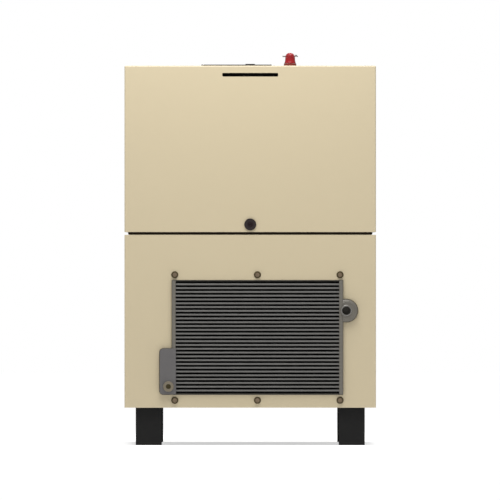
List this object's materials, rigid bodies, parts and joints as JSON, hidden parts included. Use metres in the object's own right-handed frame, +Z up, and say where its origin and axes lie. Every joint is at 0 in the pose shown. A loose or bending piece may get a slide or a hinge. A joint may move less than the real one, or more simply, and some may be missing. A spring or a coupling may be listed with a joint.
{
  "type": "home standby generator",
  "caption": "Enclosed standby generator on four legs: tan sheet-metal cabinet, rear-hinged hood, radiator in the front panel, engine and alternator inside.",
  "frame": {"origin": "on the floor, at the centre of the four anchor holes in the feet", "axes": "+Z up; -Y is the radiator end; +X is the right-hand side when facing the radiator end"},
  "size_m": [0.63, 1.0323, 0.9837],
  "materials": {
    "tan_paint": "satin powder coat",
    "black_steel": "satin powder coat",
    "seal_rubber": "matte",
    "hinge_steel": "zinc plated",
    "lock_black": "satin",
    "hatch_black": "fine texture",
    "stop_red": "gloss",
    "stop_dark": "matte",
    "ear_steel": "satin",
    "radiator_grey": "satin, darkened",
    "tank_grey": "satin",
    "screw_zinc": "zinc plated",
    "plug_brass": "dull",
    "fan_black": "matte",
    "motor_black": "satin",
    "hose_rubber": "matte",
    "block_iron": "painted, rough",
    "head_alu": "cast",
    "cover_black": "wrinkle",
    "shaft_steel": "machined",
    "pulley_steel": "machined",
    "alternator_grey": "painted",
    "winding_copper": "varnished",
    "filter_white": "gloss",
    "stick_yellow": "gloss",
    "cap_black": "matte",
    "intake_alu": "cast",
    "air_black": "satin",
    "regulator_grey": "satin",
    "exhaust_rust": "heat stained",
    "muffler_steel": "aluminised",
    "battery_black": "satin",
    "box_grey": "satin"
  },
  "bodies": {
    "cabinet": {"base_frame": "black_steel", "legs": "black_steel", "upper_frame": "tan_paint", "rim_seal": "seal_rubber", "front_panel": "tan_paint", "rear_panel": "tan_paint", "left_side_panel": "tan_paint", "right_side_panel": "tan_paint", "hinge_lower_leaves": "hinge_steel", "hinge_pins": "hinge_steel", "radiator_core": "radiator_grey", "radiator_frame": "tank_grey", "radiator_screws": "screw_zinc", "inlet_boss": "tank_grey", "drain_tank": "tank_grey", "fan_shroud": "fan_black", "fan_motor": "motor_black", "radiator_hoses": "hose_rubber", "isolators": "seal_rubber", "engine_block": "block_iron", "cylinder_head": "head_alu", "valve_cover": "cover_black", "oil_pan": "cover_black", "drive_belt": "seal_rubber", "alternator_housing": "alternator_grey", "stator": "winding_copper", "starter_motor": "motor_black", "oil_filter": "filter_white", "intake_manifold": "intake_alu", "air_cleaner": "air_black", "gas_regulator": "regulator_grey", "exhaust_manifold": "exhaust_rust", "muffler": "muffler_steel", "battery": "battery_black", "control_box": "box_grey", "control_cover": "box_grey"},
    "hood": {"hood": "tan_paint", "vent_baffle": "black_steel", "hinge_upper_leaves": "hinge_steel", "hood_lock_body": "lock_black", "hatch_hinge_leaf": "hatch_black", "hatch_pin": "hinge_steel", "stop_base": "stop_dark"},
    "hood_lock": {"hood_lock_cam": "hinge_steel"},
    "hatch": {"hatch_lid": "hatch_black", "hatch_gasket": "seal_rubber"},
    "hatch_catch": {"hatch_latch": "lock_black"},
    "stop_plunger": {"stop_head": "stop_red"},
    "stop_ears": {"stop_ear_plate": "ear_steel"},
    "cooling_fan": {"fan": "fan_black"},
    "crank_train": {"crankshaft": "shaft_steel", "crank_pulley": "pulley_steel", "rotor": "shaft_steel"},
    "pump_pulley": {"water_pump_pulley": "pulley_steel"},
    "hood_prop": {"prop_rod": "hinge_steel"},
    "drain": {"drain_plug": "plug_brass"},
    "breaker_lever": {"breaker_toggle": "lock_black"},
    "mode_knob": {"mode_switch": "lock_black"},
    "oil_stick": {"dipstick": "stick_yellow"},
    "filler_cap": {"oil_cap": "cap_black"}
  },
  "joints": [
    {"name": "hood_hinge", "type": "hinge", "parent": "cabinet", "child": "hood", "pos_m": [0, 0.508, 0.5305], "axis": [-1, 0, 0], "range_deg": [0, 75]},
    {"name": "hood_lock_turn", "type": "hinge", "parent": "hood", "child": "hood_lock", "pos_m": [0, -0.5, 0.553], "axis": [0, 1, 0], "range_deg": [0, 90]},
    {"name": "hatch_hinge", "type": "hinge", "parent": "hood", "child": "hatch", "pos_m": [-0.1208, -0.21, 0.9533], "axis": [0, -1, 0], "range_deg": [0, 110]},
    {"name": "hatch_latch_turn", "type": "hinge", "parent": "hatch", "child": "hatch_catch", "pos_m": [0, -0.21, 0.955], "axis": [0, 0, -1], "range_deg": [0, 90]},
    {"name": "stop_press", "type": "slide", "parent": "hood", "child": "stop_plunger", "axis": [0, 0, -1], "range_m": [0, 0.004], "stiffness_N_per_m": 2000, "springref_m": -0.002},
    {"name": "stop_release", "type": "hinge", "parent": "stop_plunger", "child": "stop_ears", "pos_m": [0.1, -0.43, 0.9745], "axis": [0, 0, -1], "range_deg": [0, 30]},
    {"name": "fan_spin", "type": "hinge", "parent": "cabinet", "child": "cooling_fan", "pos_m": [0.018, -0.403, 0.27], "axis": [0, 1, 0], "continuous": true},
    {"name": "crank_spin", "type": "hinge", "parent": "cabinet", "child": "crank_train", "pos_m": [0, 0, 0.29], "axis": [0, 1, 0], "continuous": true},
    {"name": "pump_spin", "type": "hinge", "parent": "cabinet", "child": "pump_pulley", "pos_m": [-0.04, -0.33, 0.4], "axis": [0, 1, 0], "continuous": true},
    {"name": "prop_swing", "type": "hinge", "parent": "cabinet", "child": "hood_prop", "pos_m": [-0.2925, 0.04, 0.556], "axis": [1, 0, 0], "range_deg": [0, 60]},
    {"name": "drain_turn", "type": "hinge", "parent": "cabinet", "child": "drain", "pos_m": [-0.205, -0.512, 0.147], "axis": [0, -1, 0], "range_deg": [0, 360]},
    {"name": "breaker_throw", "type": "hinge", "parent": "cabinet", "child": "breaker_lever", "pos_m": [0.27, -0.035, 0.7], "axis": [0, -1, 0], "range_deg": [0, 50]},
    {"name": "mode_turn", "type": "hinge", "parent": "cabinet", "child": "mode_knob", "pos_m": [0.29, 0.06, 0.7], "axis": [1, 0, 0], "range_deg": [-45, 45]},
    {"name": "dipstick_pull", "type": "slide", "parent": "cabinet", "child": "oil_stick", "axis": [0, 0, 1], "range_m": [0, 0.3]},
    {"name": "oil_cap_turn", "type": "hinge", "parent": "cabinet", "child": "filler_cap", "pos_m": [0, -0.12, 0.6], "axis": [0, 0, 1], "range_deg": [0, 90]}
  ],
  "couplings": [
    {"joint": "pump_spin", "follows": "crank_spin", "ratio": 1.3333}
  ]
}
